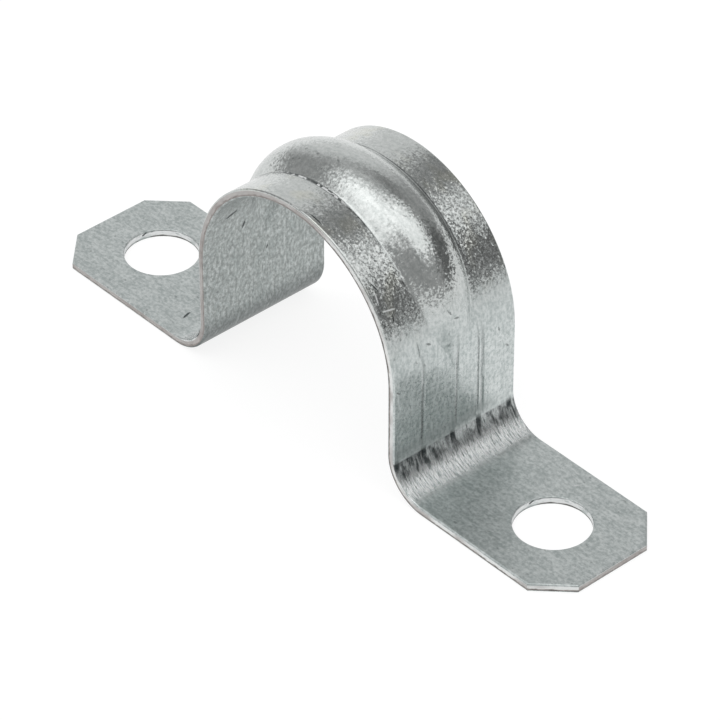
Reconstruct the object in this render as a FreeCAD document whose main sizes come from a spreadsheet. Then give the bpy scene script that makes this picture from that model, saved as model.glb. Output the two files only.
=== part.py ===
import FreeCAD, Part
import math
import os

import Sketcher

# Two-lug conduit strap, folded from one strip of galvanised sheet steel.
# Frame in millimetres: X along the strip, Y across it, Z up from the wall it is screwed to.
# The origin is midway between the ends of the two feet, on the plane of their undersides.

os.makedirs("parts", exist_ok=True)
doc = FreeCAD.newDocument("conduit_strap")

# ------------------------------------------------------------------ sizes
sizes = doc.addObject("Spreadsheet::Sheet", "sizes")
SIZE_LIST = (
    ("sheet_thickness", "0.75", "sheet steel with its zinc coat"),
    ("strip_width", "13", "width of the strip"),
    ("overall_length", "61", "from the end of one foot to the end of the other"),
    ("corner_cut", "2.8", "leg of the 45 degree cut at each foot corner"),
    ("hole_diameter", "6.4", "screw hole, clears an M6 screw"),
    ("hole_spacing", "47.5", "from hole centre to hole centre"),
    ("seat_radius", "11", "inside radius of the saddle, for 22 mm conduit"),
    ("seat_height", "10.35", "height of the saddle's axis above the wall"),
    ("saddle_offset", "0.65", "saddle's axis from the middle of the strip"),
    ("bend_radius", "3.2", "upper-face radius of the bend between leg and foot"),
    ("bead_width", "6", "width of the stiffening bead where it leaves the saddle"),
    ("bead_rise", "1.45", "height of the bead above the saddle"),
    ("runout_radius", "10.5", "radius on which the bead's crest sinks back at each end"),
    ("point_height", "9.4", "height above the wall of the point where the crest has sunk into the leg"),
    ("runout_sink", "0.25", "how far the crest's line lies under the leg's face at the wall"),
    ("crease_radius", "0.45", "outside radius in the crease beside the bead"),
    ("crease_dip", "0.01", "how far the crease dips under the saddle's face before it ends"),
    ("edge_radius", "0.15", "rounding of the sheared edges"),
)
for row, (alias, number, meaning) in enumerate(SIZE_LIST, start=1):
    sizes.set("A%d" % row, alias)
    sizes.set("B%d" % row, number)
    sizes.set("C%d" % row, meaning)
    sizes.setAlias("B%d" % row, alias)
doc.recompute()


def dim(alias):
    """Present value of a size, used to start a sketch close to its solution."""
    return float(sizes.get(alias))


# ------------------------------------------------------------------ body and helpers
strap = doc.addObject("PartDesign::Body", "strap_body")
strap.Label = "strap"

START, END, CENTRE = 1, 2, 3
AXIS, ORIGIN = -1, 1


def new_sketch(name, role):
    """Sketch of the strap's body on one of its own origin planes."""
    sketch = strap.newObject("Sketcher::SketchObject", name)
    for plane in strap.Origin.OriginFeatures:
        if plane.Role == role:
            sketch.AttachmentSupport = [(plane, "")]
    sketch.MapMode = "FlatFace"
    return sketch


def line(sketch, x1, y1, x2, y2):
    segment = Part.LineSegment(FreeCAD.Vector(x1, y1, 0), FreeCAD.Vector(x2, y2, 0))
    return sketch.addGeometry(segment, False)


def arc(sketch, x, y, radius, first_degrees, last_degrees):
    circle = Part.Circle(FreeCAD.Vector(x, y, 0), FreeCAD.Vector(0, 0, 1), radius)
    first = math.radians(first_degrees)
    last = math.radians(last_degrees)
    return sketch.addGeometry(Part.ArcOfCircle(circle, first, last), False)


def fix(sketch, kind, *where):
    return sketch.addConstraint(Sketcher.Constraint(kind, *where))


def measure(sketch, name, formula, kind, *where):
    """Named dimension of a sketch that follows a formula of the size sheet."""
    number = fix(sketch, kind, *where)
    sketch.renameConstraint(number, name)
    sketch.setExpression("Constraints." + name, formula)


def build(feature, what):
    """Recomputes and stops with a clear message if the feature has failed."""
    doc.recompute()
    bad = [state for state in feature.State if state in ("Invalid", "Error")]
    if bad or feature.Shape.isNull() or not feature.Shape.isValid():
        raise RuntimeError(what + " has failed")
    return feature


def edges_on(shape, test):
    """Names of the edges that satisfy the test at points all along them."""
    names = []
    for number, edge in enumerate(shape.Edges, start=1):
        points = edge.discretize(9)
        if all(test(point) for point in points):
            names.append("Edge%d" % number)
    return names


# ------------------------------------------------------------------ sizes that follow from others
thickness = dim("sheet_thickness")
inner = dim("seat_radius")
outer = inner + thickness
height = dim("seat_height")
offset = dim("saddle_offset")
bend = dim("bend_radius")
half_length = dim("overall_length") / 2
half_width = dim("strip_width") / 2

OUTER = "sizes.seat_radius + sizes.sheet_thickness"
BEAD_RADIUS = "((sizes.bead_width / 2)^2 + sizes.bead_rise^2) / (2 * sizes.bead_rise)"


def leg_and_saddle(sketch, side_radius, side_name, bend_size, bend_formula):
    """Bend, leg, saddle, leg and bend of one face of the sheet, joined tangentially."""
    bend_z = thickness + bend
    left = offset - side_radius
    right = offset + side_radius
    left_bend = arc(sketch, offset - outer - bend, bend_z, bend_size, 270, 360)
    left_leg = line(sketch, left, bend_z, left, height)
    saddle = arc(sketch, offset, height, side_radius, 0, 180)
    right_leg = line(sketch, right, height, right, bend_z)
    right_bend = arc(sketch, offset + outer + bend, bend_z, bend_size, 180, 270)
    fix(sketch, "Tangent", left_bend, END, left_leg, START)
    fix(sketch, "Tangent", left_leg, END, saddle, END)
    fix(sketch, "Tangent", saddle, START, right_leg, START)
    fix(sketch, "Tangent", right_leg, END, right_bend, START)
    fix(sketch, "Vertical", left_leg)
    fix(sketch, "Vertical", right_leg)
    fix(sketch, "Equal", left_bend, right_bend)
    measure(sketch, "saddle_radius", side_name, "Radius", saddle, side_radius)
    measure(sketch, "bend_radius", bend_formula, "Radius", left_bend, bend_size)
    measure(sketch, "saddle_x", "sizes.saddle_offset", "DistanceX", AXIS, ORIGIN, saddle, CENTRE, offset)
    measure(sketch, "saddle_z", "sizes.seat_height", "DistanceY", AXIS, ORIGIN, saddle, CENTRE, height)
    return left_bend, right_bend


# ------------------------------------------------------------------ 1. block under the upper face
# The upper face of the whole strap, feet included, closed along the wall and made as wide as the strip.
upper = new_sketch("upper_face_profile", "XZ_Plane")
left_bend, right_bend = leg_and_saddle(upper, outer, OUTER, bend, "sizes.bend_radius")
left_foot = line(upper, -half_length, thickness, offset - outer - bend, thickness)
right_foot = line(upper, offset + outer + bend, thickness, half_length, thickness)
left_end = line(upper, -half_length, 0, -half_length, thickness)
right_end = line(upper, half_length, thickness, half_length, 0)
wall = line(upper, half_length, 0, -half_length, 0)
fix(upper, "Tangent", left_foot, END, left_bend, START)
fix(upper, "Tangent", right_bend, END, right_foot, START)
fix(upper, "Coincident", left_end, END, left_foot, START)
fix(upper, "Coincident", right_foot, END, right_end, START)
fix(upper, "Coincident", right_end, END, wall, START)
fix(upper, "Coincident", wall, END, left_end, START)
fix(upper, "Vertical", left_end)
fix(upper, "Vertical", right_end)
fix(upper, "Horizontal", left_foot)
fix(upper, "Horizontal", right_foot)
fix(upper, "PointOnObject", wall, START, AXIS)
fix(upper, "Symmetric", wall, START, wall, END, AXIS, ORIGIN)
measure(upper, "length", "sizes.overall_length", "DistanceX", wall, END, wall, START, 2 * half_length)
measure(
    upper, "left_sheet", "sizes.sheet_thickness",
    "DistanceY", left_end, START, left_end, END, thickness,
)
measure(
    upper, "right_sheet", "sizes.sheet_thickness",
    "DistanceY", right_end, END, right_end, START, thickness,
)

block = strap.newObject("PartDesign::Pad", "folded_block")
block.Profile = upper
block.SideType = "Symmetric"
block.setExpression("Length", "sizes.strip_width")
build(block, "the block")

# ------------------------------------------------------------------ 2. bead, outside
# The crest of the bead runs concentric with the saddle. At each end it turns in on a smaller radius
# and then runs straight, a little out of upright, until it has sunk into the leg at a point.
rise = dim("bead_rise")
crest = outer + rise
runout = dim("runout_radius")
point = dim("point_height")
sunk = outer - dim("runout_sink")
lean = math.atan2(outer - sunk, point)
swing = crest - runout
reach = outer * math.cos(lean) + (height - point) * math.sin(lean) - runout
turn = math.acos(reach / swing) - lean
runout_x = swing * math.cos(turn)
runout_z = height + swing * math.sin(turn)
drop_x = runout_x + runout * math.cos(lean)
drop_z = runout_z - runout * math.sin(lean)
turn = math.degrees(turn)
lean = math.degrees(lean)

path = new_sketch("bead_crest_path", "XZ_Plane")
left_drop = line(path, offset - sunk, 0, offset - drop_x, drop_z)
left_runout = arc(path, offset - runout_x, runout_z, runout, 180 - turn, 180 + lean)
crown = arc(path, offset, height, crest, turn, 180 - turn)
right_runout = arc(path, offset + runout_x, runout_z, runout, -lean, turn)
right_drop = line(path, offset + drop_x, drop_z, offset + sunk, 0)
left_point = path.addGeometry(Part.Point(FreeCAD.Vector(offset - outer, point, 0)), True)
right_point = path.addGeometry(Part.Point(FreeCAD.Vector(offset + outer, point, 0)), True)
fix(path, "Tangent", left_drop, END, left_runout, END)
fix(path, "Tangent", left_runout, START, crown, END)
fix(path, "Tangent", crown, START, right_runout, END)
fix(path, "Tangent", right_runout, START, right_drop, START)
fix(path, "PointOnObject", left_drop, START, AXIS)
fix(path, "PointOnObject", right_drop, END, AXIS)
fix(path, "PointOnObject", left_point, START, left_drop)
fix(path, "PointOnObject", right_point, START, right_drop)
fix(path, "Equal", left_runout, right_runout)
SUNK = OUTER + " - sizes.runout_sink"
measure(path, "crest_radius", OUTER + " + sizes.bead_rise", "Radius", crown, crest)
measure(path, "runout_radius", "sizes.runout_radius", "Radius", left_runout, runout)
measure(path, "crown_x", "sizes.saddle_offset", "DistanceX", AXIS, ORIGIN, crown, CENTRE, offset)
measure(path, "crown_z", "sizes.seat_height", "DistanceY", AXIS, ORIGIN, crown, CENTRE, height)
measure(path, "left_sunk", SUNK, "DistanceX", left_drop, START, crown, CENTRE, sunk)
measure(path, "right_sunk", SUNK, "DistanceX", crown, CENTRE, right_drop, END, sunk)
measure(path, "left_point_x", OUTER, "DistanceX", left_point, START, crown, CENTRE, outer)
measure(path, "right_point_x", OUTER, "DistanceX", crown, CENTRE, right_point, START, outer)
measure(path, "left_point_z", "sizes.point_height", "DistanceY", AXIS, ORIGIN, left_point, START, point)
measure(path, "right_point_z", "sizes.point_height", "DistanceY", AXIS, ORIGIN, right_point, START, point)


def bead_section(name, inset, inset_formula, flare_formula):
    """Bead's section with the crease on each side, at the lower left end of the crest path.

    The inset is how far this face lies under the outside of the bead.
    """
    half_base = dim("bead_width") / 2
    radius = (half_base * half_base + rise * rise) / (2 * rise)
    crease = dim("crease_radius")
    depth = rise + 2 * thickness
    centre_x = offset - sunk + radius
    chord_x = offset - sunk + depth
    crease_in = radius - rise + crease - dim("crease_dip")
    crease_y = math.sqrt((radius + crease) * (radius + crease) - crease_in * crease_in)
    crease_x = centre_x - crease_in
    foot_x = crease_x + crease + inset
    slope = math.degrees(math.atan2(crease_y, crease_in))

    section = new_sketch(name, "XY_Plane")
    bow = arc(section, centre_x, 0, radius - inset, 180 - slope, 180 + slope)
    near_crease = arc(section, crease_x, -crease_y, crease + inset, 0, slope)
    far_crease = arc(section, crease_x, crease_y, crease + inset, 360 - slope, 360)
    near_side = line(section, foot_x, -crease_y, chord_x, -crease_y)
    far_side = line(section, chord_x, crease_y, foot_x, crease_y)
    chord = line(section, chord_x, -crease_y, chord_x, crease_y)
    fix(section, "Tangent", bow, END, near_crease, END)
    fix(section, "Tangent", bow, START, far_crease, START)
    fix(section, "Coincident", near_crease, START, near_side, START)
    fix(section, "Coincident", far_crease, END, far_side, END)
    fix(section, "Coincident", near_side, END, chord, START)
    fix(section, "Coincident", chord, END, far_side, START)
    fix(section, "Horizontal", near_side)
    fix(section, "Horizontal", far_side)
    fix(section, "Horizontal", near_crease, CENTRE, near_crease, START)
    fix(section, "Horizontal", far_crease, CENTRE, far_crease, END)
    fix(section, "Vertical", chord)
    fix(section, "Vertical", near_crease, CENTRE, far_crease, CENTRE)
    fix(section, "Equal", near_crease, far_crease)
    fix(section, "PointOnObject", bow, CENTRE, AXIS)
    measure(section, "radius", BEAD_RADIUS + inset_formula, "Radius", bow, radius - inset)
    measure(section, "crease_radius", flare_formula, "Radius", near_crease, crease + inset)
    measure(
        section, "centre", SUNK + " - sizes.saddle_offset - " + BEAD_RADIUS,
        "DistanceX", bow, CENTRE, AXIS, ORIGIN, -centre_x,
    )
    measure(
        section, "crease_place",
        BEAD_RADIUS + " - sizes.bead_rise + sizes.crease_radius - sizes.crease_dip",
        "DistanceX", near_crease, CENTRE, bow, CENTRE, crease_in,
    )
    measure(
        section, "depth", BEAD_RADIUS + " - sizes.bead_rise - 2 * sizes.sheet_thickness",
        "DistanceX", chord, START, bow, CENTRE, radius - depth,
    )
    return section


WHOLE_PATH = ["Edge1", "Edge2", "Edge3", "Edge4", "Edge5"]

outside_section = bead_section("bead_outside_section", 0, "", "sizes.crease_radius")
bead_outside = strap.newObject("PartDesign::AdditivePipe", "bead_outside")
bead_outside.Profile = outside_section
bead_outside.Spine = (path, WHOLE_PATH)
build(bead_outside, "the outside of the bead")

# ------------------------------------------------------------------ 3. seat
# The lower face of the sheet: everything under it is taken away, from the feet to the saddle.
lower = new_sketch("lower_face_profile", "XZ_Plane")
left_bend, right_bend = leg_and_saddle(
    lower, inner, "sizes.seat_radius", bend + thickness, "sizes.bend_radius + sizes.sheet_thickness"
)
left_side = line(lower, offset - outer - bend, -thickness, offset - outer - bend, 0)
right_side = line(lower, offset + outer + bend, 0, offset + outer + bend, -thickness)
below = line(lower, offset + outer + bend, -thickness, offset - outer - bend, -thickness)
fix(lower, "Coincident", left_side, END, left_bend, START)
fix(lower, "Coincident", right_bend, END, right_side, START)
fix(lower, "Coincident", right_side, END, below, START)
fix(lower, "Coincident", below, END, left_side, START)
fix(lower, "Vertical", left_side)
fix(lower, "Vertical", right_side)
fix(lower, "Horizontal", below)
fix(lower, "PointOnObject", left_side, END, AXIS)
fix(lower, "Vertical", left_bend, START, left_bend, CENTRE)
fix(lower, "Vertical", right_bend, END, right_bend, CENTRE)
fix(lower, "Horizontal", left_bend, CENTRE, right_bend, CENTRE)
measure(
    lower, "below_wall", "sizes.sheet_thickness",
    "DistanceY", left_side, START, left_side, END, thickness,
)

seat = strap.newObject("PartDesign::Pocket", "seat")
seat.Profile = lower
seat.Type = "ThroughAll"
seat.SideType = "Symmetric"
build(seat, "the seat")

# ------------------------------------------------------------------ 4. bead, inside
inside_section = bead_section(
    "bead_inside_section", thickness, " - sizes.sheet_thickness",
    "sizes.crease_radius + sizes.sheet_thickness",
)
bead_inside = strap.newObject("PartDesign::SubtractivePipe", "bead_inside")
bead_inside.Profile = inside_section
bead_inside.Spine = (path, WHOLE_PATH)
build(bead_inside, "the inside of the bead")

# ------------------------------------------------------------------ 5. foot corners
def foot_corner(point):
    """Test for the upright edges at the ends of the feet."""
    at_end = abs(abs(point.x) - half_length) < 0.01
    return at_end and abs(abs(point.y) - half_width) < 0.01


corners = strap.newObject("PartDesign::Chamfer", "foot_corners")
corners.Base = (bead_inside, edges_on(bead_inside.Shape, foot_corner))
corners.setExpression("Size", "sizes.corner_cut")
build(corners, "the foot corners")

# ------------------------------------------------------------------ 6. screw holes
hole_centres = new_sketch("screw_hole_centres", "XY_Plane")
hole_x = dim("hole_spacing") / 2
hole_radius = dim("hole_diameter") / 2
left_hole = hole_centres.addGeometry(
    Part.Circle(FreeCAD.Vector(-hole_x, 0, 0), FreeCAD.Vector(0, 0, 1), hole_radius), False
)
right_hole = hole_centres.addGeometry(
    Part.Circle(FreeCAD.Vector(hole_x, 0, 0), FreeCAD.Vector(0, 0, 1), hole_radius), False
)
fix(hole_centres, "Equal", left_hole, right_hole)
fix(hole_centres, "Symmetric", left_hole, CENTRE, right_hole, CENTRE, AXIS, ORIGIN)
fix(hole_centres, "PointOnObject", right_hole, CENTRE, AXIS)
measure(
    hole_centres, "spacing", "sizes.hole_spacing",
    "DistanceX", left_hole, CENTRE, right_hole, CENTRE, 2 * hole_x,
)
measure(hole_centres, "radius", "sizes.hole_diameter / 2", "Radius", left_hole, hole_radius)

doc.recompute()
holes = strap.newObject("PartDesign::Hole", "screw_holes")
holes.Profile = hole_centres
doc.recompute()
holes.DepthType = "ThroughAll"
holes.Reversed = True
holes.setExpression("Diameter", "sizes.hole_diameter")
build(holes, "the screw holes")
drilled = 2 * math.pi * hole_radius * hole_radius * thickness
if abs(corners.Shape.Volume - holes.Shape.Volume - drilled) > 0.01 * drilled:
    raise RuntimeError("the screw holes have not gone through the feet")

# ------------------------------------------------------------------ 7. sheared edges
def sheared(point):
    """Test for the outline of the strip: its long sides, its ends and its corner cuts."""
    along = abs(point.x)
    across = abs(point.y)
    on_side = abs(across - half_width) < 0.001
    on_end = abs(along - half_length) < 0.001
    on_cut = abs(along + across + dim("corner_cut") - half_length - half_width) < 0.001
    return on_side or on_end or on_cut


def through_sheet(edge):
    """True for the short edges that run through the sheet from face to face."""
    box = edge.BoundBox
    return box.XLength < 0.001 and box.YLength < 0.001


outline = []
for name in edges_on(holes.Shape, sheared):
    if not through_sheet(holes.Shape.getElement(name)):
        outline.append(name)
edge_rounding = strap.newObject("PartDesign::Fillet", "sheared_edges")
edge_rounding.Base = (holes, outline)
edge_rounding.setExpression("Radius", "sizes.edge_radius")
build(edge_rounding, "the rounding of the sheared edges")

# ------------------------------------------------------------------ checks and export
strap.Placement = FreeCAD.Placement(FreeCAD.Vector(0, 0, 0), FreeCAD.Rotation(0, 0, 0))
strap.Tip = edge_rounding
doc.recompute()
for item in doc.Objects:
    if "Invalid" in item.State or "Error" in item.State:
        raise RuntimeError(item.Name + " has failed")
for body in (strap,):
    if body.Shape.isNull() or not body.Shape.isValid() or len(body.Shape.Solids) != 1:
        raise RuntimeError(body.Label + " is not one valid solid")
    body.Shape.exportStep("parts/" + body.Label + ".step")
    print(body.Label, "volume", round(body.Shape.Volume, 2), "mm3")
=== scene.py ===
import math
from functools import partial

import bmesh
import bpy
import numpy as np
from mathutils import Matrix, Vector


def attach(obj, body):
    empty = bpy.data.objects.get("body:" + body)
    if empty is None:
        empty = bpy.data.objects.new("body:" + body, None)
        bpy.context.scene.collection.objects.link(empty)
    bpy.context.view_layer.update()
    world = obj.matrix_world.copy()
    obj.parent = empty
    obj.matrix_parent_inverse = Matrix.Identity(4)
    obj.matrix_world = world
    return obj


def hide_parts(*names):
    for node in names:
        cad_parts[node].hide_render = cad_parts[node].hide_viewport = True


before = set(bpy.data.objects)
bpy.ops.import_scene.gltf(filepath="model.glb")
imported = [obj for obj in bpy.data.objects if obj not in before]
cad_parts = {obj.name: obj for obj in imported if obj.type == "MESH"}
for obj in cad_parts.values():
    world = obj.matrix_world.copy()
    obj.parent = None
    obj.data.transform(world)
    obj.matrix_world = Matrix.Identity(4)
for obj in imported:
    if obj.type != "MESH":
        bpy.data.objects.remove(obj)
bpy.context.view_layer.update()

bl_info = {
    "name": "Conduit strap",
    "version": (1, 0, 0),
    "blender": (4, 5, 0),
    "location": "View3D > Sidebar > Strap",
    "description": "Two-lug conduit strap pressed from galvanised sheet",
    "category": "Object",
}

# Frame in metres: X along the strip, Y across it, Z up from the wall. Sheet positions are in millimetres.
MM = 0.001
UV_SPAN = 100.0  # millimetres of sheet to one unit of the UV map
SLOPE_STEP = 0.001  # half the distance over which the sheet's slope is measured


# ------------------------------------------------------------------ settings
def length(name, description, millimetres):
    """Property for a size that is given in millimetres."""
    return bpy.props.FloatProperty(
        name=name, description=description, default=millimetres * MM, unit="LENGTH", precision=5
    )


def linear(hex_colour):
    """Linear RGB of an sRGB colour written as 0xRRGGBB."""
    channels = []
    for shift in (16, 8, 0):
        value = ((hex_colour >> shift) & 255) / 255
        channels.append(value / 12.92 if value <= 0.04045 else ((value + 0.055) / 1.055) ** 2.4)
    return tuple(channels)


def colour(name, description, hex_colour):
    """Property for a colour that is given as 0xRRGGBB."""
    return bpy.props.FloatVectorProperty(
        name=name, description=description, default=linear(hex_colour), size=3, subtype="COLOR", min=0, max=1
    )


class StrapSizes(bpy.types.PropertyGroup):
    """Sizes of the strap"""

    thickness: length("Sheet thickness", "Sheet steel with its zinc coat", 0.75)
    width: length("Strip width", "Width of the strip", 13)
    overall: length("Overall length", "From the end of one foot to the end of the other", 61)
    corner_cut: length("Corner cut", "Leg of the 45 degree cut at each foot corner", 2.8)
    hole: length("Hole diameter", "Screw hole", 6.4)
    spacing: length("Hole spacing", "From hole centre to hole centre", 47.5)
    seat_radius: length("Seat radius", "Inside radius of the saddle", 11)
    seat_height: length("Seat height", "Height of the saddle's axis above the wall", 10.35)
    offset: length("Saddle offset", "Saddle's axis from the middle of the strip", 0.65)
    bend: length("Bend radius", "Upper-face radius between leg and foot", 3.2)
    bead_width: length("Bead width", "Width of the bead where it leaves the saddle", 6)
    bead_rise: length("Bead rise", "Height of the bead above the saddle", 1.45)
    runout: length("Run-out radius", "Radius on which the bead's crest sinks back", 10.5)
    point: length("Point height", "Height above the wall where the crest is sunk in the leg", 9.4)
    sink: length("Run-out sink", "Depth of the crest's line under the leg's face at the wall", 0.25)
    crease: length("Crease radius", "Outside radius in the crease beside the bead", 0.45)
    edge: length("Edge rounding", "Rounding of the sheared edges", 0.15)
    hole_edge: length("Hole edge rounding", "Rounding of the rims of the punched holes", 0.07)
    cell: length("Cell", "Mesh cell along and across the sheet", 0.2)


class StrapColours(bpy.types.PropertyGroup):
    """Colours of the strap and its floor"""

    zinc: colour("Zinc", "Bright galvanised face", 0xD5DAD9)
    zinc_dark: colour("Dull zinc", "Duller zinc grains", 0xA9B1B0)
    zinc_rubbed: colour("Rubbed zinc", "Plainer grey where the punch has stretched the zinc", 0xBEBFBD)
    # Darker lower face: partly duller zinc, partly painted shade.
    zinc_dull_and_shaded: colour("Smoky zinc", "Dull face that no die has rubbed", 0x8E9391)
    zinc_warm: colour("Warm zinc", "Faint yellow cast of chromate on the stretched zinc", 0xCAC8B4)
    # Also the colour of the painted shade outside each bend, across each upper bend and in the creases.
    scratch_and_shade: colour("Scratch", "Nicks and pits that go dark", 0x3A4041)
    shear: colour("Sheared steel", "Steel laid bare along the sheared edges", 0xA39C99)
    # Near white: partly the burnished steel, partly a painted highlight.
    shear_burnish_and_highlight: colour("Burnished shear", "Burnished part of the sheared edge", 0xE6E8E7)
    fracture: colour("Fracture", "Dark torn lip at the foot of a sheared edge", 0x565451)
    punched: colour("Punched steel", "Bright wall of the punched holes", 0xDCDEDE)
    floor: colour("Floor", "Pale floor", 0xF2F2F2)


def own_keys(group):
    """Names of the sizes or colours that a group holds."""
    return [key for key in group.bl_rna.properties.keys() if key not in ("rna_type", "name")]


# ------------------------------------------------------------------ shape of the folded sheet
class Sheet:
    """The sheet's middle surface as a function of the place on the flat strip, in millimetres."""

    def __init__(self, sizes):
        for key in own_keys(sizes):
            setattr(self, key, getattr(sizes, key) / MM)
        self.middle_radius = self.seat_radius + self.thickness / 2
        self.outer_radius = self.seat_radius + self.thickness
        self.bend_middle = self.bend + self.thickness / 2
        self.bend_z = self.bend + self.thickness
        self.left_bend_x = self.offset - self.outer_radius - self.bend
        self.right_bend_x = self.offset + self.outer_radius + self.bend
        leg = self.seat_height - self.bend_z
        runs = (
            self.overall / 2 + self.left_bend_x,
            self.bend_middle * math.pi / 2,
            leg,
            self.middle_radius * math.pi,
            leg,
            self.bend_middle * math.pi / 2,
            self.overall / 2 - self.right_bend_x,
        )
        self.starts = np.concatenate(([0.0], np.cumsum(runs)))
        self.total = float(self.starts[-1])
        self.top = float((self.starts[3] + self.starts[4]) / 2)

    def profile(self, s):
        """Point and upper normal, in the XZ plane, at a distance along the strip."""
        k = np.clip(np.searchsorted(self.starts, s, side="right") - 1, 0, 6)
        d = s - self.starts[k]
        bend = d / self.bend_middle
        turn = math.pi - d / self.middle_radius
        cases = [k == n for n in range(7)]
        flat = self.thickness / 2
        zero = 0 * d
        x = np.select(cases, [
            d - self.overall / 2,
            self.left_bend_x + self.bend_middle * np.sin(bend),
            zero + self.offset - self.middle_radius,
            self.offset + self.middle_radius * np.cos(turn),
            zero + self.offset + self.middle_radius,
            self.right_bend_x - self.bend_middle * np.cos(bend),
            self.right_bend_x + d,
        ])
        z = np.select(cases, [
            zero + flat,
            self.bend_z - self.bend_middle * np.cos(bend),
            self.bend_z + d,
            self.seat_height + self.middle_radius * np.sin(turn),
            self.seat_height - d,
            self.bend_z - self.bend_middle * np.sin(bend),
            zero + flat,
        ])
        nx = np.select(cases, [zero, -np.sin(bend), zero - 1, np.cos(turn), zero + 1, np.cos(bend), zero])
        nz = np.select(cases, [zero + 1, np.cos(bend), zero, np.sin(turn), zero, np.sin(bend), zero + 1])
        return x, z, nx, nz

    def crest(self, s):
        """Height of the bead's crest above the saddle's face.

        The crest goes round the saddle's axis, turns on the run-out arc and sinks into the leg on a line.
        """
        crest = self.outer_radius + self.bead_rise
        lean = math.atan2(self.sink, self.point)
        drop = self.seat_height - self.point
        reach = self.outer_radius * math.cos(lean) + drop * math.sin(lean) - self.runout
        swing = crest - self.runout
        turn = math.acos(reach / swing) - lean
        centre_x = swing * math.cos(turn)
        centre_z = swing * math.sin(turn)
        line_top = centre_z - self.runout * math.sin(lean)

        # Radius of the crest from the saddle's axis, on each of its three stretches.
        from_top = np.abs(s - self.top)
        angle = math.pi / 2 - from_top / self.middle_radius
        ux = np.cos(angle)
        uz = np.sin(angle)
        along = centre_x * ux + centre_z * uz
        inside = self.runout ** 2 - centre_x ** 2 - centre_z ** 2 + along ** 2
        on_arc = along + np.sqrt(np.maximum(inside, 0))
        on_line = (self.outer_radius + drop * math.tan(lean)) / (ux - uz * math.tan(lean))
        radius = np.where(angle > turn, crest, np.where(on_arc * uz > line_top, on_arc, on_line))

        # Under the axis the leg is upright, and the height is measured straight out from it.
        below_axis = from_top - self.middle_radius * math.pi / 2
        on_leg = (drop - below_axis) * math.tan(lean)
        return np.maximum(np.where(below_axis > 0, on_leg, radius - self.outer_radius), 0)

    def bead(self, s, y):
        """Lift of the middle surface over the saddle: the bead's arc and the creases beside it."""
        crest = self.crest(s)
        half = self.bead_width / 2
        arc = (half ** 2 + self.bead_rise ** 2) / (2 * self.bead_rise) - self.thickness / 2
        crease = self.crease + self.thickness / 2
        across = np.abs(y)
        foot = np.sqrt(np.maximum((arc + crease) ** 2 - (arc - crest + crease) ** 2, 0))
        join = foot * arc / (arc + crease)
        on_arc = crest - arc + np.sqrt(np.maximum(arc ** 2 - across ** 2, 0))
        on_crease = crease - np.sqrt(np.maximum(crease ** 2 - np.clip(foot - across, 0, crease) ** 2, 0))
        lift = np.where(across < join, on_arc, on_crease)
        return np.where((across > foot) | (crest <= 0), 0, lift)

    def middle(self, s, y):
        """Point of the middle surface."""
        x, z, nx, nz = self.profile(s)
        lift = self.bead(s, y)
        return np.stack([x + nx * lift, y + 0 * x, z + nz * lift], -1)

    def at(self, s, y):
        """Point of the middle surface, its upper normal and its two unit tangents."""
        point = self.middle(s, y)
        along = self.middle(s + SLOPE_STEP, y) - self.middle(s - SLOPE_STEP, y)
        across = self.middle(s, y + SLOPE_STEP) - self.middle(s, y - SLOPE_STEP)
        along /= np.linalg.norm(along, axis=-1, keepdims=True)
        across /= np.linalg.norm(across, axis=-1, keepdims=True)
        normal = np.cross(along, across)
        normal /= np.linalg.norm(normal, axis=-1, keepdims=True)
        return point, normal, along, across


# ------------------------------------------------------------------ mesh patches
SKIN, SHEARED, PUNCHED = 0, 1, 2  # material slots of the mesh
LOWER_SHIFT = np.array([0.0, 30.0])  # the lower face has its own strip of the UV map, beside the upper one
WELD = 0.002  # points nearer than this are one


class Patches:
    """Collects grids of points with their normals and UVs, and welds them into one mesh."""

    def __init__(self):
        self.points = []
        self.faces = []
        self.normals = []
        self.uvs = []
        self.slots = []
        self.count = 0

    def add(self, points, normals, uvs, slot):
        """Add a grid of quads."""
        rows, columns = points.shape[:2]
        number = np.arange(rows * columns).reshape(rows, columns)
        corners = np.stack([number[:-1, :-1], number[1:, :-1], number[1:, 1:], number[:-1, 1:]], -1)
        corners = corners.reshape(-1, 4)
        self.points.append(points.reshape(-1, 3))
        self.faces.append(corners + self.count)
        self.normals.append(normals.reshape(-1, 3)[corners].reshape(-1, 3))
        self.uvs.append(uvs.reshape(-1, 2)[corners].reshape(-1, 2))
        self.slots.append(np.full(len(corners), slot))
        self.count += rows * columns

    def mesh(self, name):
        """Welded mesh. The true normals ride through the weld as an attribute, and then become its own."""
        mesh = bpy.data.meshes.new(name)
        points = np.concatenate(self.points) * MM
        faces = np.concatenate(self.faces)
        mesh.from_pydata(points.tolist(), [], faces.tolist())
        mesh.polygons.foreach_set("material_index", np.concatenate(self.slots).astype(np.int32))
        mesh.polygons.foreach_set("use_smooth", np.ones(len(faces), bool))
        uv = mesh.uv_layers.new(name="sheet")
        uv.data.foreach_set("uv", (np.concatenate(self.uvs) / UV_SPAN).astype(np.float32).ravel())
        true = mesh.attributes.new("true_normal", "FLOAT_VECTOR", "CORNER")
        true.data.foreach_set("vector", np.concatenate(self.normals).astype(np.float32).ravel())
        work = bmesh.new()
        work.from_mesh(mesh)
        bmesh.ops.remove_doubles(work, verts=work.verts, dist=WELD * MM)
        bmesh.ops.recalc_face_normals(work, faces=work.faces)
        work.to_mesh(mesh)
        work.free()
        true = mesh.attributes["true_normal"]
        normals = np.zeros(len(mesh.loops) * 3, np.float32)
        true.data.foreach_get("vector", normals)
        mesh.attributes.remove(true)
        mesh.normals_split_custom_set(normals.reshape(-1, 3).tolist())
        return mesh


RIM_STEPS = 4  # rows of cells on each rounding of a sheared edge
HOLE_STEPS = 3  # the same for the rims of a hole
HOLE_RINGS = 12  # rows of cells from a hole's rim to the outline of its foot


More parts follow.
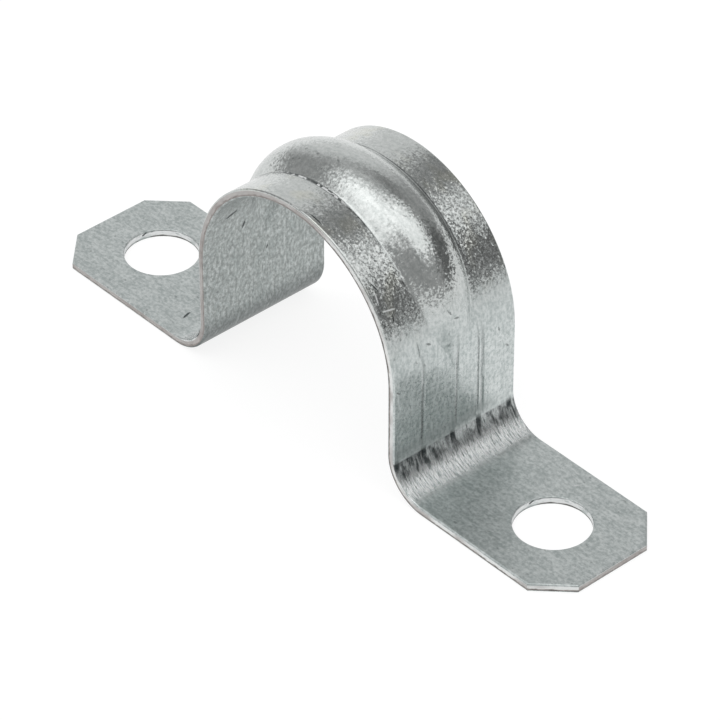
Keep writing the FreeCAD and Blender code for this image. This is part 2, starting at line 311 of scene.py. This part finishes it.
def rim_levels(thickness, rounding, steps):
    """Upper and lower half of a rounded rim's section: inset, height in the sheet and tilt of the normal."""
    upper = []
    for n in range(steps + 1):
        tilt = math.pi / 2 * n / steps
        upper.append((rounding * (1 - math.sin(tilt)), thickness / 2 - rounding * (1 - math.cos(tilt)), tilt))
    lower = [(inset, -height, math.pi - tilt) for inset, height, tilt in reversed(upper)]
    return upper, lower


def add_rim(patches, sheet, section, rounding, steps, slot):
    """Rounded rim of the sheet; the section gives places, the way out and the run along it at an inset."""
    upper, lower = rim_levels(sheet.thickness, rounding, steps)
    for levels, wall in ((upper, False), ((upper[-1], lower[0]), True), (lower, False)):
        points = []
        normals = []
        uvs = []
        for inset, height, tilt in levels:
            places, outward, run = section(inset)
            centre, normal, along, across = sheet.at(places[:, 0], places[:, 1])
            out = outward[..., :1] * along + outward[..., 1:] * across
            points.append(centre + height * normal)
            normals.append(math.cos(tilt) * normal + math.sin(tilt) * out)
            around = np.stack([run, height + 0 * run], -1)
            uvs.append(around if wall else places + LOWER_SHIFT * (height < 0))
        patches.add(np.stack(points), np.stack(normals), np.stack(uvs), slot if wall else SKIN)


def side_section(corners, number, fractions, outward):
    """Section of the straight side from one corner of the outline to the next."""
    outward = np.array(outward)

    def section(inset):
        start, end = np.array(corners(inset)[number:number + 2])
        places = start + (end - start) * fractions[:, None]
        return places, outward, places @ np.array([-outward[1], outward[0]])

    return section


def add_face(patches, sheet, s, y):
    """Both faces of the sheet over a grid of places on the flat strip."""
    centre, normal, _, _ = sheet.at(s, y)
    uvs = np.stack([s, y], -1)
    patches.add(centre + normal * sheet.thickness / 2, normal, uvs, SKIN)
    patches.add(centre - normal * sheet.thickness / 2, -normal, uvs + LOWER_SHIFT, SKIN)


def foot_corners(sheet, inner_s, end_s, way):
    """Corners of a foot's outline at an inset from its edge, from one side of the strip to the other."""
    half = sheet.width / 2

    def corners(inset):
        slant = inset * (math.sqrt(2) - 1)
        side = half - inset
        cut = end_s - way * (sheet.corner_cut + slant)
        tip = half - sheet.corner_cut - slant
        end = end_s - way * inset
        return (inner_s, -side), (cut, -side), (end, -tip), (end, tip), (cut, side), (inner_s, side)

    return corners


def add_foot(patches, sheet, inner_s, hole_s, end_s, across):
    """End of the strip around a screw hole, from the last row of the plain grid to the cut corners."""
    way = 1 if end_s > hole_s else -1
    corners = foot_corners(sheet, inner_s, end_s, way)
    slope = math.sqrt(0.5)
    ways_out = ((0, -1), (way * slope, -slope), (way, 0), (way * slope, slope), (0, 1))
    ring = []
    for number, outward in enumerate(ways_out):
        start, end = np.array(corners(sheet.edge)[number:number + 2])
        cells = max(4, round(float(np.linalg.norm(end - start)) / (2 * sheet.cell)))
        fractions = np.linspace(0, 1, cells + 1)
        ring.append((start + (end - start) * fractions[:, None])[:-1])
        section = side_section(corners, number, fractions, outward)
        add_rim(patches, sheet, section, sheet.edge, RIM_STEPS, SHEARED)
    ring.append(np.stack([np.full(len(across), inner_s), across[::-1]], -1))
    ring = np.concatenate(ring)
    centre = np.array([hole_s, 0.0])
    angle = np.arctan2(ring[:, 1], ring[:, 0] - hole_s)
    spoke = np.stack([np.cos(angle), np.sin(angle)], -1)
    circle = centre + spoke * (sheet.hole / 2 + sheet.hole_edge)
    share = np.linspace(0, 1, HOLE_RINGS + 1)[:, None, None]
    places = circle + (ring - circle) * share
    add_face(patches, sheet, places[..., 0], places[..., 1])

    def hole_section(inset):
        return centre + spoke * (sheet.hole / 2 + inset), -spoke, angle * sheet.hole / 2

    add_rim(patches, sheet, hole_section, sheet.hole_edge, HOLE_STEPS, PUNCHED)


def strap_mesh(sheet):
    """Whole strap: the long middle of the strip with its two sides, and a foot at each end."""
    patches = Patches()
    half = sheet.width / 2
    left_hole = sheet.overall / 2 - sheet.spacing / 2
    right_hole = sheet.total - left_hole
    left_inner = left_hole + half
    right_inner = right_hole - half
    columns = np.linspace(left_inner, right_inner, round((right_inner - left_inner) / sheet.cell) + 1)
    rows = np.linspace(-(half - sheet.edge), half - sheet.edge, round(sheet.width / sheet.cell) + 1)
    s, y = np.meshgrid(columns, rows, indexing="ij")
    add_face(patches, sheet, s, y)
    fractions = np.linspace(0, 1, len(columns))
    for side in (-1, 1):
        def ends(inset, side=side):
            return (left_inner, side * (half - inset)), (right_inner, side * (half - inset))

        section = side_section(ends, 0, fractions, (0, side))
        add_rim(patches, sheet, section, sheet.edge, RIM_STEPS, SHEARED)
    add_foot(patches, sheet, left_inner, left_hole, 0.0, rows)
    add_foot(patches, sheet, right_inner, right_hole, sheet.total, rows)
    return patches.mesh("strap_sheet")


# ------------------------------------------------------------------ nodes
TIMES = {"operation": "MULTIPLY"}
PLUS = {"operation": "ADD"}
MINUS = {"operation": "SUBTRACT"}
LARGER = {"operation": "MAXIMUM"}
SIZE = {"operation": "ABSOLUTE"}
SOFT = {"interpolation_type": "SMOOTHSTEP"}
BLEND = {"data_type": "RGBA"}


def add_node(tree, kind, settings, *values, **named):
    """Add a node with its settings, then set or link its inputs, in order or by name with _ for a space.

    Inputs that the settings switch off aren't counted, and a node as a value stands for its first output.
    """
    node = tree.nodes.new("ShaderNode" + kind)
    for key, value in settings.items():
        setattr(node, key, value)
    pairs = list(zip((socket for socket in node.inputs if socket.enabled), values))
    pairs += [(node.inputs[key.replace("_", " ")], value) for key, value in named.items()]
    for socket, value in pairs:
        if isinstance(value, bpy.types.Node):
            value = next(output for output in value.outputs if output.enabled)
        if isinstance(value, bpy.types.NodeSocket):
            tree.links.new(value, socket)
        else:
            socket.default_value = value
    return node


def new_material(name):
    """Empty material, and the function that adds a node to it."""
    material = bpy.data.materials.new(name)
    material.use_nodes = True
    material.node_tree.nodes.clear()
    return material, partial(add_node, material.node_tree)


def rgba(values):
    """Colour with full opacity."""
    return (*values, 1.0)


# ------------------------------------------------------------------ patterns on the sheet
# A pattern is a level around 0.5. Two numbers after it say at which level it starts to show and at which it
# is full, and two more say what it becomes at each.

def sheet_place(add):
    """Place on the flat sheet in millimetres: the vector, the way along the strip and the way across it."""
    uv = add("UVMap", {"uv_map": "sheet"})
    place = add("VectorMath", {"operation": "SCALE"}, uv, UV_SPAN)
    parts = add("SeparateXYZ", {}, place)
    return place, parts.outputs[0], parts.outputs[1]


def mottle(add, place, size, detail, roughness=0.5):
    """Cloudy pattern whose blots have a size in millimetres along the strip and across it."""
    scaled = add("VectorMath", TIMES, place, (1 / size[0], 1 / size[1], 1))
    return add("TexNoise", {}, scaled, 1, detail, roughness)


def overlap(add, level, *others):
    """Level that is full only where all of these are."""
    for other in others:
        level = add("Math", TIMES, level, other)
    return level


def weighted(add, base, *terms):
    """Base with each of the other levels added by its own weight."""
    for level, weight in terms:
        base = add("Math", PLUS, base, add("Math", TIMES, level, weight))
    return base


def painted(add, tone, *layers):
    """Colour with others laid over it in turn, each by its level and its strength."""
    for level, strength, paint in layers:
        tone = add("Mix", BLEND, add("Math", TIMES, level, strength), tone, rgba(paint))
    return tone


def span(add, value, start, full, last, end):
    """1 from full to last, softly down to 0 at the start and at the end."""
    return overlap(add, add("MapRange", SOFT, value, start, full), add("MapRange", SOFT, value, end, last))


def line_mark(add, value, centre, half_width):
    """1 on the line where the value is at the centre, softly down to 0 at the half width."""
    distance = add("Math", SIZE, add("Math", MINUS, value, centre))
    return add("MapRange", SOFT, distance, half_width, 0)


def nick_marks(add, sheet, place, nicks):
    """1 in each of a few short straight nicks."""
    found = 0
    for run, y, half_length, half_width, degrees in nicks:
        turned = add(
            "Mapping", {"vector_type": "TEXTURE"}, place, (sheet.top + run, y, 0),
            (0, 0, math.radians(degrees)), (half_length, half_width, 1),
        )
        distance = add("VectorMath", {"operation": "LENGTH"}, turned)
        found = add("Math", LARGER, found, add("MapRange", SOFT, distance, 1, NICK_CORE))
    return found


# Nicks and scratches: run along the strip from the top of the saddle, place across it (with LOWER_SHIFT on
# the lower face), half length, half width and turn from the strip's length.
DARK_NICKS = (
    (-13.4, 25.85, 0.80, 0.20, 62),
    (-15.8, 27.6, 0.50, 0.13, 10),
    (-19.5, 30.2, 0.25, 0.08, 20),
    (-31.3, -4.06, 0.60, 0.13, 105),
    (-33.6, 1.8, 0.35, 0.10, 20),
    (9.2, -5.6, 0.60, 0.08, 20),
    (11.9, -5.2, 0.50, 0.09, -15),
    (2.2, -6.1, 0.90, 0.08, 0),
)
FAINT_NICKS = (
    (13.3, -0.46, 0.35, 0.08, 30),
    (14.0, 0.1, 0.30, 0.08, 75),
    (15.2, -2.6, 0.30, 0.10, 60),
    (15.3, -3.66, 0.90, 0.08, 3),
    (17.3, 4.7, 0.35, 0.09, 20),
    (18.1, -6.0, 0.40, 0.08, 50),
    (19.3, 5.6, 0.30, 0.10, 45),
    (20.3, -3.8, 0.30, 0.07, 5),
)
BRIGHT_NICKS = (
    (11.2, -5.3, 0.65, 0.09, 80),
    (10.0, -5.9, 0.60, 0.09, -10),
    (36.0, 4.6, 0.50, 0.06, 60),
)
NICK_CORE = 0.55  # share of a nick's size that has its full depth
# Deep marks that the die leaves across each upper bend: place across the strip, half width, and how far each
# wanders across for a millimetre along.
CRIMPS = (-6.25, -3.4, -0.3, 2.5, 5.8)
CRIMP_HALF = 0.42
CRIMP_WANDER = 0.12
# Drag lines that run down each leg from the bead: place across the strip and half width.
DRAG_LINES = ((-3.4, 0.24), (0.2, 0.20), (2.5, 0.12), (2.95, 0.28))

# Sizes of the patterns in millimetres, along the strip and across it. The true zinc grains are about a tenth
# of a millimetre wide, and the ones here are up to four times as coarse so that they show.
GRAIN = (0.385, 0.294)
CLOUD = (1.82, 1.25)
ROLLED_STREAK = (2.0, 0.3125)
CHROMATE = (2.86, 2.0)
DULL_AND_SHADE_SPECK = (0.455, 0.278)
PIT = (0.625, 0.417)
BEND_STROKE = (1.11, 0.154)
BEND_BLOT = (2.0, 0.909)
BEND_TICK = (2.86, 0.455)
CREASE_FLECK = (0.455, 1.25)
WORN_PATCH = (4.55, 2.5)
SPARKLE = 0.125
FROST = 0.2174
TEAR = (0.625, 0.167)
BURNISH_AND_HIGHLIGHT_PATCH = (4.55, 4.55)
PUNCH_TEAR = (0.833, 0.2)
PUNCH_STAIN = (1.11, 0.714)
PUNCH_MOTTLE = (2.0, 0.833)

# Zones of the folded strip, in millimetres of the sheet. Each fades in and out over a short way.
FACES_APART = 10  # across the strip: the upper face is on this side of it, the lower face past it
SADDLE_SHORT = (2, 7)  # above each leg: where the stretched saddle ends, and from where it is full
LEG_FADE = (3, 1)  # into the saddle, and around the start of the bend
RUBBED = (0.2, 0.8)  # shares of the upper bend between which the die has rubbed it
RUBBED_FADE = ((-0.6, 0.2), (-0.4, 0.7))  # around each end of that stretch
SHADE_BAND = (-0.45, -0.25, 0.8, 1.7)  # dark stretch of painted shade across the bend, from where the rubbing starts
BEND_SHADE_FADE = ((-1, 1.5), (0, 2))  # around each end of the bend, whose outside gets painted shade
TORN = (-6.5, -4.5, 1.5, 3.5)  # torn stretch of the crease, from the top of the saddle
FLANGE_FADE = 0.8  # from the side of the bead outwards


# ------------------------------------------------------------------ materials
class Zones:
    """Where a place is on the folded strip: distances in millimetres, and levels that are 1 inside a zone."""

    def __init__(self, add, sheet):
        self.place, along, self.across = sheet_place(add)
        self.run = add("Math", MINUS, along, sheet.top)
        self.from_top = add("Math", SIZE, self.run)
        self.from_middle = add("Math", SIZE, self.across)
        self.bead_side = sheet.bead_width / 2
        leg_start = sheet.middle_radius * math.pi / 2
        bend_start = leg_start + sheet.seat_height - sheet.bend_z
        bend_length = sheet.bend_middle * math.pi / 2
        rubbed_top, rubbed_foot = (bend_start + share * bend_length for share in RUBBED)
        self.bend_top = rubbed_top
        self.upper = add("MapRange", SOFT, self.across, FACES_APART + 1, FACES_APART)
        self.lower = add("Math", MINUS, 1, self.upper)
        saddle = add("MapRange", SOFT, self.from_top, *(leg_start - short for short in SADDLE_SHORT))
        leg = span(
            add, self.from_top,
            leg_start - LEG_FADE[0], leg_start, bend_start - LEG_FADE[1], bend_start + LEG_FADE[1],
        )
        bend = span(
            add, self.from_top,
            *(rubbed_top + fade for fade in RUBBED_FADE[0]), *(rubbed_foot + fade for fade in RUBBED_FADE[1]),
        )
        outside = span(
            add, self.from_top,
            *(bend_start + fade for fade in BEND_SHADE_FADE[0]),
            *(bend_start + bend_length + fade for fade in BEND_SHADE_FADE[1]),
        )
        self.arch = overlap(add, self.upper, saddle)
        self.leg = overlap(add, self.upper, leg)
        self.bend = overlap(add, self.upper, bend)
        # Painted shade goes across this upper part of each upper bend.
        self.shade_band = overlap(add, self.upper, span(add, self.from_top, *(rubbed_top + edge for edge in SHADE_BAND)))
        self.outside = overlap(add, self.lower, outside)


class Zinc:
    """Patterns of the zinc coat, the marks that the press has left in it, and painted shade in the creases.
    """

    def __init__(self, add, sheet, zones):
        place = zones.place
        self.grain = mottle(add, place, GRAIN, 4, 0.7)
        self.streak = mottle(add, place, ROLLED_STREAK, 2, 0.6)
        self.strokes = mottle(add, place, BEND_STROKE, 4, 0.8)
        self.pits = add("MapRange", SOFT, mottle(add, place, PIT, 1), 0.70, 0.76)
        faint = add("MapRange", SOFT, self.grain, 0.35, 0.6, 0.1, 0.7)
        faint = overlap(add, nick_marks(add, sheet, place, FAINT_NICKS), faint)
        self.dark = add("Math", LARGER, nick_marks(add, sheet, place, DARK_NICKS), faint)
        self.bright = nick_marks(add, sheet, place, BRIGHT_NICKS)
        self.crimp = self.crimps(add, zones)
        self.drag = self.drag_lines(add, zones)
        self.seam = self.crease_shade_lines(add, zones)
        self.torn, self.flecks = self.torn_crease(add, zones)

    def crimps(self, add, zones):
        """Deep short marks across each upper bend."""
        down = add("Math", MINUS, zones.from_top, zones.bend_top)
        wander = weighted(add, zones.across, (down, CRIMP_WANDER))
        found = 0
        for y in CRIMPS:
            mark = add("MapRange", SOFT, line_mark(add, wander, y, CRIMP_HALF), 0.2, 0.6)
            found = add("Math", LARGER, found, mark)
        ridge = line_mark(add, zones.from_top, zones.bend_top, 0.75)
        return overlap(add, found, zones.upper, ridge, add("MapRange", SOFT, self.grain, 0.3, 0.5))

    def drag_lines(self, add, zones):
        """Broken lines down each leg."""
        found = 0
        for y, half_width in DRAG_LINES:
            found = add("Math", LARGER, found, line_mark(add, zones.across, y, half_width))
        return overlap(add, found, zones.leg, add("MapRange", SOFT, self.streak, 0.3, 0.5, 0.4, 1))

    def crease_shade_lines(self, add, zones):
        """Painted shade: a dark line in the creases on both sides of the bead, fading towards the right leg.
        """
        line = line_mark(add, zones.from_middle, zones.bead_side + 0.1, 0.2)
        fading = add("MapRange", SOFT, zones.run, 9, 4, 0.25, 1)
        broken = add("MapRange", SOFT, self.streak, 0.3, 0.55, 0.4, 0.9)
        return overlap(add, zones.arch, line, fading, broken)

    def torn_crease(self, add, zones):
        """Dark line near the crown where the zinc has torn in the crease, and the bright flecks in it."""
        stretch = span(add, zones.run, *TORN)
        side = -zones.bead_side - 0.1
        line = add("MapRange", SOFT, line_mark(add, zones.across, side, 0.36), 0.1, 0.5)
        core = add("MapRange", SOFT, line_mark(add, zones.across, side - 0.02, 0.24), 0.1, 0.5)
        broken = add("MapRange", SOFT, mottle(add, zones.place, CREASE_FLECK, 0), 0.46, 0.52)
        return overlap(add, line, stretch), overlap(add, core, stretch, broken)


def zinc_tone(add, colours, zones, zinc):
    """Mottled grey: plainer on the stretched saddle, dull and partly darkened as painted shade on the lower
    face, dark in marks, with painted shade outside each bend, across the upper part of each upper bend and in
    the creases, and a painted highlight in the rubbed strokes below that part.
    """
    cloud = mottle(add, zones.place, CLOUD, 3, 0.6)
    fleck = weighted(add, 0, (zinc.grain, 0.62), (cloud, 0.2), (zinc.streak, 0.18))
    flange = add("MapRange", SOFT, zones.from_middle, zones.bead_side, zones.bead_side + FLANGE_FADE)
    chromate = add("MapRange", SOFT, mottle(add, zones.place, CHROMATE, 2), 0.5, 0.7)
    # Dull specks on the lower face, partly painted shade.
    dull_speck_and_shade = add("MapRange", SOFT, mottle(add, zones.place, DULL_AND_SHADE_SPECK, 4, 0.75), 0.62, 0.38, 0.15, 0.95)
    # Painted shade, in broken streaks, on the outside of each bend, which curves down to the floor.
    bend_underside_shade = overlap(add, zones.outside, add("MapRange", SOFT, zinc.streak, 0.25, 0.5, 0.5, 1))
    gouges = add("MapRange", SOFT, zinc.strokes, 0.42, 0.34)
    rubbed = add("MapRange", SOFT, zinc.strokes, 0.45, 0.52)
    below_shade_band = weighted(add, 1, (zones.shade_band, -0.7))
    blots = add("MapRange", SOFT, mottle(add, zones.place, BEND_BLOT, 3, 0.7), 0.58, 0.42, 0.3, 0.95)
    ticks = add("MapRange", SOFT, mottle(add, zones.place, BEND_TICK, 2), 0.62, 0.66)
    return painted(
        add, rgba(colours.zinc_dark),
        (add("MapRange", SOFT, fleck, 0.38, 0.62), 1, colours.zinc),
        (zones.arch, 0.5, colours.zinc_rubbed),
        (overlap(add, zones.arch, flange, chromate), 0.28, colours.zinc_warm),
        # Partly duller zinc, partly painted shade on the lower face.
        (overlap(add, zones.lower, dull_speck_and_shade), 1, colours.zinc_dull_and_shaded),
        # Painted shade outside each bend.
        (bend_underside_shade, 0.6, colours.scratch_and_shade),
        (overlap(add, zones.bend, gouges), 0.85, colours.scratch_and_shade),
        # Painted shade: dark blots across the upper part of each upper bend.
        (overlap(add, zones.shade_band, blots), 1, colours.scratch_and_shade),
        # Partly rubbed strokes, partly a painted highlight that lightens the bend below the shaded stretch.
        (overlap(add, zones.bend, below_shade_band, rubbed), 1, colours.punched),
        # Painted shade in the creases.
        (zinc.seam, 1, colours.scratch_and_shade),
        (zinc.torn, 0.6, colours.scratch_and_shade),
        (zinc.flecks, 1, colours.punched),
        (zinc.pits, 0.35, colours.scratch_and_shade),
        (zinc.dark, 0.85, colours.scratch_and_shade),
        (zinc.crimp, 1, colours.scratch_and_shade),
        # Painted shade: dark ticks in that same shaded stretch.
        (overlap(add, zones.shade_band, ticks), 0.9, colours.scratch_and_shade),
        (zinc.drag, 0.4, colours.scratch_and_shade),
        (zinc.bright, 1, colours.punched),
    )


def zinc_relief(add, zones, zinc):
    """Height of the grains, of the strokes rubbed across the bends and of the marks."""
    return weighted(
        add, 0,
        (overlap(add, zinc.grain, weighted(add, 1, (zones.leg, -0.45))), 0.012 * MM),
        (overlap(add, zinc.strokes, zones.bend), 0.065 * MM),
        (overlap(add, zinc.streak, zones.leg), 0.014 * MM),
        (zinc.dark, -0.06 * MM),
        (zinc.bright, 0.05 * MM),
        (zinc.crimp, -0.09 * MM),
        (zinc.drag, -0.055 * MM),
    )


def zinc_lean(add, zones):
    """How each small grain leans its own way, more where the sheet has been stretched over the punch."""
    cells = add("TexVoronoi", {}, zones.place, 1 / SPARKLE).outputs["Color"]
    frost = add("TexNoise", {}, zones.place, 1 / FROST, 4, 0.7).outputs["Color"]
    leans = add("Mix", BLEND, 0.2, frost, cells)
    lean = add("VectorMath", MINUS, leans, (0.5, 0.5, 0.5))
    crease = line_mark(add, zones.from_middle, zones.bead_side + 0.25, 0.7)
    crown = overlap(add, line_mark(add, zones.across, 0.2, 2.8), line_mark(add, zones.run, 1.5, 7))
    worn = add("MapRange", SOFT, mottle(add, zones.place, WORN_PATCH, 2), 0.42, 0.6, 0.32, 0.52)
    worn = overlap(add, worn, weighted(add, 1, (crown, -0.6)))
    worn = add("Math", PLUS, worn, add("MapRange", SOFT, zones.run, 8, 11, 0, 0.2))
    worn = weighted(add, worn, (crease, 0.3))
    # The legs, which the die has pressed flat, keep the least of it.
    amount = weighted(add, 0.16, (zones.leg, -0.11), (zones.arch, worn))
    return add("VectorMath", {"operation": "SCALE"}, lean, amount)


def galvanised(colours, sheet):
    """Hot-dip galvanised sheet: fine mottled zinc grains, each tilted a little, so that it sparkles."""
    material, add = new_material("hot_dip_galvanised_sheet")
    zones = Zones(add, sheet)
    zinc = Zinc(add, sheet, zones)
    bump = add("Bump", {}, Height=zinc_relief(add, zones, zinc), Strength=1, Distance=1)
    tilted = add("VectorMath", PLUS, bump, zinc_lean(add, zones))
    rough = add("MapRange", SOFT, zinc.grain, 0.3, 0.7, 0.34, 0.44)
    # Punch and die leave the zinc smoother than it came.
    rough = weighted(add, rough, (zones.arch, -0.22), (zones.leg, -0.10), (zones.bend, -0.20))
    raised = add("Math", LARGER, zinc.bright, add("Math", TIMES, zinc.flecks, 0.8))
    shader = add(
        "BsdfPrincipled", {},
        Base_Color=zinc_tone(add, colours, zones, zinc),
        Metallic=weighted(add, 1, (raised, -0.8)),
        Roughness=rough,
        Normal=add("VectorMath", {"operation": "NORMALIZE"}, tilted),
    )
    add("OutputMaterial", {}, shader)
    return material


def sheared(colours, sheet):
    """Sheared edge of bare steel: dull and a little brown, and to the right burnished above a torn lip, with
    a painted highlight on the burnished part and painted shade on the lip.
    """
    material, add = new_material("sheared_bare_steel")
    place, run, height = sheet_place(add)
    tear = mottle(add, place, TEAR, 4, 0.65)
    level = weighted(add, height, (add("Math", MINUS, tear, 0.5), 0.45 * sheet.thickness))
    half = sheet.thickness / 2 - sheet.edge
    # Painted highlight and painted shade over the real burnished part and torn lip: towards the right the
    # burnished part is lightened near white and the lip darkened.
    to_right = add("MapRange", SOFT, run, 0.45 * sheet.total, 0.6 * sheet.total, 0.3, 1)
    patches = add("MapRange", SOFT, mottle(add, place, BURNISH_AND_HIGHLIGHT_PATCH, 2), 0.4, 0.55, 0.4, 1)
    burnish_and_painted_light = overlap(add, to_right, patches)
    burnish_and_highlight = add("MapRange", SOFT, level, -0.6 * half, -0.15 * half)
    lip = add("MapRange", SOFT, level, -0.6 * half, -0.9 * half)
    tone = painted(
        add, rgba(colours.fracture),
        (add("MapRange", SOFT, tear, 0.35, 0.65), 1, colours.shear),
        (1, 0.65, colours.shear),
        (overlap(add, burnish_and_painted_light, burnish_and_highlight), 1, colours.shear_burnish_and_highlight),
        (overlap(add, burnish_and_painted_light, lip), 1, colours.fracture),
    )
    bump = add("Bump", {}, Height=tear, Strength=1, Distance=0.08 * MM)
    shader = add("BsdfPrincipled", {}, Base_Color=tone, Metallic=1, Roughness=0.4, Normal=bump)
    add("OutputMaterial", {}, shader)
    return material


def punched(colours, sheet):
    """Wall of a punched hole: burnished bright by the punch, torn along its lower lip."""
    material, add = new_material("burnished_punched_steel")
    place, _, height = sheet_place(add)
    tear = mottle(add, place, PUNCH_TEAR, 3)
    level = weighted(add, height, (add("Math", MINUS, tear, 0.5), 0.3 * sheet.thickness))
    half = sheet.thickness / 2 - sheet.hole_edge
    torn_lip = add("MapRange", SOFT, level, -0.45 * half, -0.85 * half)
    drawn_lip = add("MapRange", SOFT, level, 0.6 * half, half)
    stain = add("MapRange", SOFT, mottle(add, place, PUNCH_STAIN, 1), 0.66, 0.72)
    dull = add("MapRange", SOFT, mottle(add, place, PUNCH_MOTTLE, 4, 0.75), 0.5, 0.4, 0, 0.8)
    tone = painted(
        add, rgba(colours.punched),
        (torn_lip, 1, colours.fracture),
        (dull, 1, colours.zinc_dark),
        (add("Math", LARGER, add("Math", TIMES, drawn_lip, 0.7), stain), 1, colours.scratch_and_shade),
    )
    rough = add("MapRange", SOFT, tear, 0.3, 0.7, 0.28, 0.5)
    shader = add("BsdfPrincipled", {}, Base_Color=tone, Metallic=1, Roughness=rough)
    add("OutputMaterial", {}, shader)
    return material


# ------------------------------------------------------------------ studio
def direction(azimuth, elevation):
    """Unit vector towards a place in the room; azimuth 0 is +X and 90 is +Y, in degrees."""
    a = math.radians(azimuth)
    e = math.radians(elevation)
    return Vector((math.cos(a) * math.cos(e), math.sin(a) * math.cos(e), math.sin(e)))


# Soft panels in a dim room, and dark places between them: azimuth, elevation, half angle at full strength,
# half angle at nothing, and strength.
PANELS = (
    (-102, 56, 14, 40, 1.0),
    (20, 60, 12, 33, 1.0),
    (142, 20, 10, 38, 0.48),
    (-150, 80, 10, 40, 0.35),
    (55, 14, 12, 34, -0.26),
    (108, 62, 6, 26, -0.14),
)
ROOM = 0.42
SWEEP = 0.38  # extra light at the horizon from the pale sweep
SWEEP_TOP = 0.13  # sine of the elevation at which the sweep ends


def add_world():
    """Dim room with soft panels, which the zinc shows as its bright and dark bands."""
    world = bpy.data.worlds.new("studio")
    world.use_nodes = True
    world.node_tree.nodes.clear()
    add = partial(add_node, world.node_tree)
    towards = add("TexCoord", {}).outputs["Generated"]
    level = ROOM
    for azimuth, elevation, inner, outer, strength in PANELS:
        facing = add("VectorMath", {"operation": "DOT_PRODUCT"}, towards, direction(azimuth, elevation))
        edge = math.cos(math.radians(outer))
        core = math.cos(math.radians(inner))
        level = add("Math", PLUS, level, add("MapRange", SOFT, facing, edge, core, 0, strength))
    height = add("SeparateXYZ", {}, towards).outputs[2]
    level = add("Math", PLUS, level, add("MapRange", SOFT, height, SWEEP_TOP, 0, 0, SWEEP))
    add("OutputWorld", {}, add("Background", {}, rgba((1, 1, 1)), level))
    bpy.context.scene.world = world


FLOOR_HALF = 1.5  # metres
FLOOR_GAP = 0.02  # millimetres under the strap
FLOOR_GLOW = 0.75  # share of plain white in the floor as it is seen; the rest takes the shadow
FLOOR_WHITE = 1.14  # brings that share, with the light the rest takes, up to white


def add_floor(colours):
    """Pale matt floor, which is seen as plain white and keeps the strap's soft shadow."""
    mesh = bpy.data.meshes.new("floor")
    corners = [(x * FLOOR_HALF, y * FLOOR_HALF, 0) for x, y in ((-1, -1), (1, -1), (1, 1), (-1, 1))]
    mesh.from_pydata(corners, [], [(0, 1, 2, 3)])
    floor = bpy.data.objects.new("floor", mesh)
    floor.location.z = -FLOOR_GAP * MM
    bpy.context.scene.collection.objects.link(floor)
    material, add = new_material("pale_matt_floor")
    paint = add("BsdfPrincipled", {}, Base_Color=rgba(colours.floor), Roughness=0.9, Specular_IOR_Level=0)
    path = add("LightPath", {})
    seen = 0
    for ray in ("Is Camera Ray", "Is Glossy Ray", "Is Transmission Ray"):
        seen = add("Math", LARGER, seen, path.outputs[ray])
    white = add("Emission", {}, rgba((1, 1, 1)), FLOOR_WHITE)
    add("OutputMaterial", {}, add("MixShader", {}, add("Math", TIMES, seen, FLOOR_GLOW), paint, white))
    mesh.materials.append(material)


SENSOR = 36  # millimetres
LENS = 229.7
CAMERA_TURN = 48.02  # degrees from the strap's broad side
CAMERA_LIFT = 38.22
CAMERA_REACH = 370.7 * MM
CAMERA_AIM = Vector((1.21, 0, 3.78)) * MM


def add_camera():
    """Long lens in front of the strap, above it and to its right."""
    data = bpy.data.cameras.new("camera")
    data.sensor_width = SENSOR
    data.lens = LENS
    data.clip_start = 0.01
    camera = bpy.data.objects.new("camera", data)
    back = direction(CAMERA_TURN - 90, CAMERA_LIFT)
    camera.location = CAMERA_AIM + back * CAMERA_REACH
    camera.rotation_mode = "QUATERNION"
    camera.rotation_quaternion = back.to_track_quat("Z", "Y")
    bpy.context.scene.collection.objects.link(camera)
    bpy.context.scene.camera = camera


# ------------------------------------------------------------------ operators
class OBJECT_OT_strap_sheet(bpy.types.Operator):
    """Build the folded sheet with its zinc, sheared and punched surfaces"""

    bl_idname = "object.strap_sheet"
    bl_label = "Build the strap"

    def execute(self, context):
        scene = context.scene
        sheet = Sheet(scene.strap_sizes)
        mesh = strap_mesh(sheet)
        strap = bpy.data.objects.new("strap_sheet", mesh)
        scene.collection.objects.link(strap)
        for make in (galvanised, sheared, punched):
            mesh.materials.append(make(scene.strap_colours, sheet))
        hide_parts("strap")
        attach(strap, "root")
        return {"FINISHED"}


class OBJECT_OT_strap_studio(bpy.types.Operator):
    """Set up the pale floor, the soft room light and the camera"""

    bl_idname = "object.strap_studio"
    bl_label = "Set up the studio"

    def execute(self, context):
        context.scene.view_settings.view_transform = "Standard"
        add_world()
        add_floor(context.scene.strap_colours)
        add_camera()
        return {"FINISHED"}


class VIEW3D_PT_strap(bpy.types.Panel):
    """Sizes, colours and build buttons of the conduit strap"""

    bl_label = "Conduit strap"
    bl_space_type = "VIEW_3D"
    bl_region_type = "UI"
    bl_category = "Strap"

    def draw(self, context):
        layout = self.layout
        for group in (context.scene.strap_sizes, context.scene.strap_colours):
            column = layout.column(align=True)
            for key in own_keys(group):
                column.prop(group, key)
        layout.operator(OBJECT_OT_strap_sheet.bl_idname)
        layout.operator(OBJECT_OT_strap_studio.bl_idname)


CLASSES = (StrapSizes, StrapColours, OBJECT_OT_strap_sheet, OBJECT_OT_strap_studio, VIEW3D_PT_strap)


def register():
    for item in CLASSES:
        bpy.utils.register_class(item)
    bpy.types.Scene.strap_sizes = bpy.props.PointerProperty(type=StrapSizes)
    bpy.types.Scene.strap_colours = bpy.props.PointerProperty(type=StrapColours)


def unregister():
    del bpy.types.Scene.strap_colours
    del bpy.types.Scene.strap_sizes
    for item in reversed(CLASSES):
        bpy.utils.unregister_class(item)


def main():
    register()
    bpy.ops.object.strap_sheet()
    bpy.ops.object.strap_studio()


if __name__ == "__main__":
    main()
